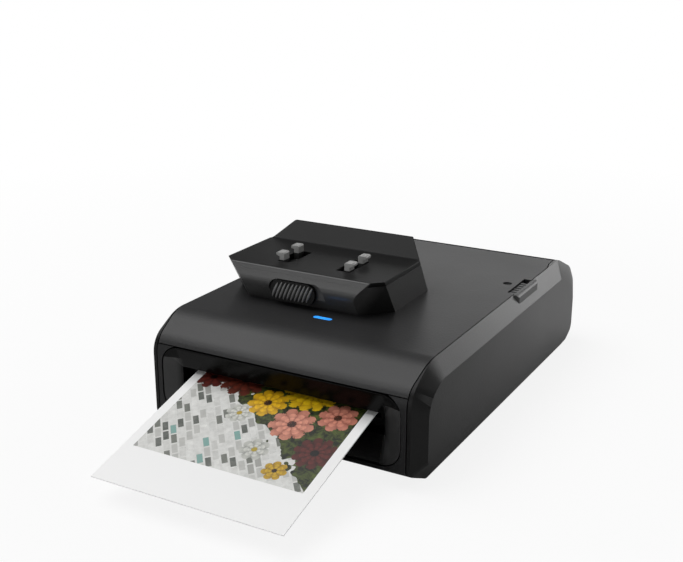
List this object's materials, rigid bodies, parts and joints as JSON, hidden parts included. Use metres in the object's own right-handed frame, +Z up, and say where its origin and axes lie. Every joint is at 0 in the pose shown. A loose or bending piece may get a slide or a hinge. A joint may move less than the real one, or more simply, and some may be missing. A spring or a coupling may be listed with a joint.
{
  "type": "compact photo printer",
  "caption": "Flat pocket photo printer with a hinged top cover, a clip-on camera dock with release hooks on it, and a photo sheet feeding out of its front slot.",
  "frame": {"origin": "middle of the flat underside, between the side shells and between the front and rear faces", "axes": "+X to the right seen from the front, +Y to the rear, +Z up; the print leaves towards -Y"},
  "size_m": [0.076, 0.1499, 0.0429],
  "materials": {
    "casing_plastic": "fine matte texture",
    "side_plastic": "fine matte texture",
    "bezel_gloss": "polished",
    "dock_plastic": "satin",
    "deck_plastic": "satin",
    "chassis_plastic": "moulded",
    "grip_plastic": "fine ribs",
    "hook_metal": "bead-blasted die cast",
    "steel": "ground",
    "head_aluminium": "extruded",
    "head_ceramic": "glazed",
    "roller_rubber": "ground matte",
    "pad_rubber": "matte",
    "gear_plastic": "moulded acetal",
    "pinion_brass": "cut",
    "spring_steel": "drawn wire",
    "screw_steel": "bright",
    "motor_steel": "drawn can",
    "battery_foil": "foil sleeve",
    "board_green": "solder mask",
    "port_steel": "stamped shell",
    "led_lens": "lit blue lens",
    "photo_paper": "coated photo paper"
  },
  "bodies": {
    "base": {"base_pan": "casing_plastic", "front_frame": "casing_plastic", "rear_panel": "casing_plastic", "left_side_shell": "side_plastic", "right_side_shell": "side_plastic", "exit_bezel": "bezel_gloss", "chassis_left": "chassis_plastic", "chassis_right": "chassis_plastic", "sheet_guides": "chassis_plastic", "paper_tray": "chassis_plastic", "spring_bar": "steel", "battery_pack": "battery_foil", "main_board": "board_green", "usb_c_port": "port_steel", "power_switch": "grip_plastic", "drive_motor": "motor_steel", "gear_studs": "steel", "rubber_pads": "pad_rubber", "case_screws": "screw_steel", "hinge_pins": "steel", "head_springs": "spring_steel", "catch_spring": "spring_steel"},
    "platen": {"platen_shaft": "steel", "platen_rubber": "roller_rubber", "platen_gear": "gear_plastic"},
    "feed": {"feed_roller": "steel", "feed_gear": "gear_plastic"},
    "pickup": {"pickup_shaft": "chassis_plastic", "pickup_tyres": "roller_rubber", "pickup_gear": "gear_plastic"},
    "motor_gear": {"motor_pinion": "pinion_brass"},
    "reduction": {"compound_gear": "gear_plastic"},
    "front_idler": {"front_idler_gear": "gear_plastic"},
    "rear_idler": {"rear_idler_gear": "gear_plastic"},
    "pinch": {"pinch_roller": "roller_rubber"},
    "head": {"print_head": "head_ceramic", "head_bracket": "head_aluminium"},
    "button": {"power_button": "grip_plastic"},
    "catch": {"cover_catch": "grip_plastic"},
    "cover": {"top_cover": "casing_plastic", "led_window": "led_lens", "pressure_springs": "spring_steel", "dock_housing": "dock_plastic", "dock_deck": "deck_plastic", "dock_screws": "screw_steel", "release_spring": "spring_steel"},
    "press": {"pressure_plate": "steel"},
    "release": {"release_slider": "grip_plastic", "left_hooks": "hook_metal"},
    "hooks_right": {"right_hooks": "hook_metal"},
    "hook_gear": {"hook_pinion": "gear_plastic"},
    "print": {"photo_print": "photo_paper"}
  },
  "joints": [
    {"name": "cover_hinge", "type": "hinge", "parent": "base", "child": "cover", "pos_m": [0, 0.039, 0.0263], "axis": [-1, 0, 0], "range_deg": [0, 75]},
    {"name": "cover_catch_slide", "type": "slide", "parent": "base", "child": "catch", "axis": [0, 1, 0], "range_m": [0, 0.0022], "stiffness_N_per_m": 120, "springref_m": -0.001, "deforming": ["catch_spring"]},
    {"name": "power_button_press", "type": "slide", "parent": "base", "child": "button", "axis": [0, -1, 0], "range_m": [0, 0.0006], "stiffness_N_per_m": 600, "springref_m": -0.0005},
    {"name": "print_head_lift", "type": "hinge", "parent": "base", "child": "head", "pos_m": [0, -0.0347, 0.02113], "axis": [-1, 0, 0], "range_deg": [0, 5], "stiffness_Nm_per_rad": 0.3, "springref_deg": -11.46, "deforming": ["head_springs"]},
    {"name": "platen_spin", "type": "hinge", "parent": "base", "child": "platen", "pos_m": [0.028, -0.042, 0.01293], "axis": [1, 0, 0], "continuous": true},
    {"name": "motor_spin", "type": "hinge", "parent": "base", "child": "motor_gear", "pos_m": [0.028, -0.0295, 0.0071], "axis": [1, 0, 0], "continuous": true},
    {"name": "reduction_spin", "type": "hinge", "parent": "base", "child": "reduction", "pos_m": [0.028, -0.03656, 0.00698], "axis": [1, 0, 0], "continuous": true},
    {"name": "front_idler_spin", "type": "hinge", "parent": "base", "child": "front_idler", "pos_m": [0.028, -0.03581, 0.01884], "axis": [1, 0, 0], "continuous": true},
    {"name": "feed_spin", "type": "hinge", "parent": "base", "child": "feed", "pos_m": [0.028, -0.0315, 0.01422], "axis": [1, 0, 0], "continuous": true},
    {"name": "rear_idler_spin", "type": "hinge", "parent": "base", "child": "rear_idler", "pos_m": [0.028, -0.02699, 0.01863], "axis": [1, 0, 0], "continuous": true},
    {"name": "pickup_spin", "type": "hinge", "parent": "base", "child": "pickup", "pos_m": [0.028, -0.019, 0.01172], "axis": [1, 0, 0], "continuous": true},
    {"name": "pinch_spin", "type": "hinge", "parent": "base", "child": "pinch", "pos_m": [0, -0.0315, 0.01808], "axis": [1, 0, 0], "continuous": true},
    {"name": "pressure_plate_lift", "type": "slide", "parent": "cover", "child": "press", "axis": [0, 0, 1], "range_m": [0, 0.0018], "stiffness_N_per_m": 200, "springref_m": -0.002, "deforming": ["pressure_springs"]},
    {"name": "hook_release", "type": "slide", "parent": "cover", "child": "release", "axis": [1, 0, 0], "range_m": [0, 0.002], "stiffness_N_per_m": 300, "springref_m": -0.001, "deforming": ["release_spring"]},
    {"name": "right_hooks_slide", "type": "slide", "parent": "cover", "child": "hooks_right", "axis": [-1, 0, 0], "range_m": [0, 0.002]},
    {"name": "hook_pinion_spin", "type": "hinge", "parent": "cover", "child": "hook_gear", "pos_m": [-0.0074, -0.02095, 0.036], "axis": [0, 0, 1], "range_deg": [-60, 60]},
    {"name": "photo_feed_out", "type": "slide", "parent": "base", "child": "print", "axis": [0, -1, 0], "range_m": [0, 0.018]}
  ],
  "couplings": [
    {"joint": "reduction_spin", "follows": "platen_spin", "ratio": -2.2},
    {"joint": "motor_spin", "follows": "platen_spin", "ratio": 3.96},
    {"joint": "front_idler_spin", "follows": "platen_spin", "ratio": -1.8333},
    {"joint": "feed_spin", "follows": "platen_spin", "ratio": 1.6923},
    {"joint": "rear_idler_spin", "follows": "platen_spin", "ratio": -1.8333},
    {"joint": "pickup_spin", "follows": "platen_spin", "ratio": 0.73333},
    {"joint": "pinch_spin", "follows": "platen_spin", "ratio": -2.2564},
    {"joint": "right_hooks_slide", "follows": "hook_release", "ratio": 1},
    {"joint": "hook_pinion_spin", "follows": "hook_release", "rad_per_m": -500}
  ]
}
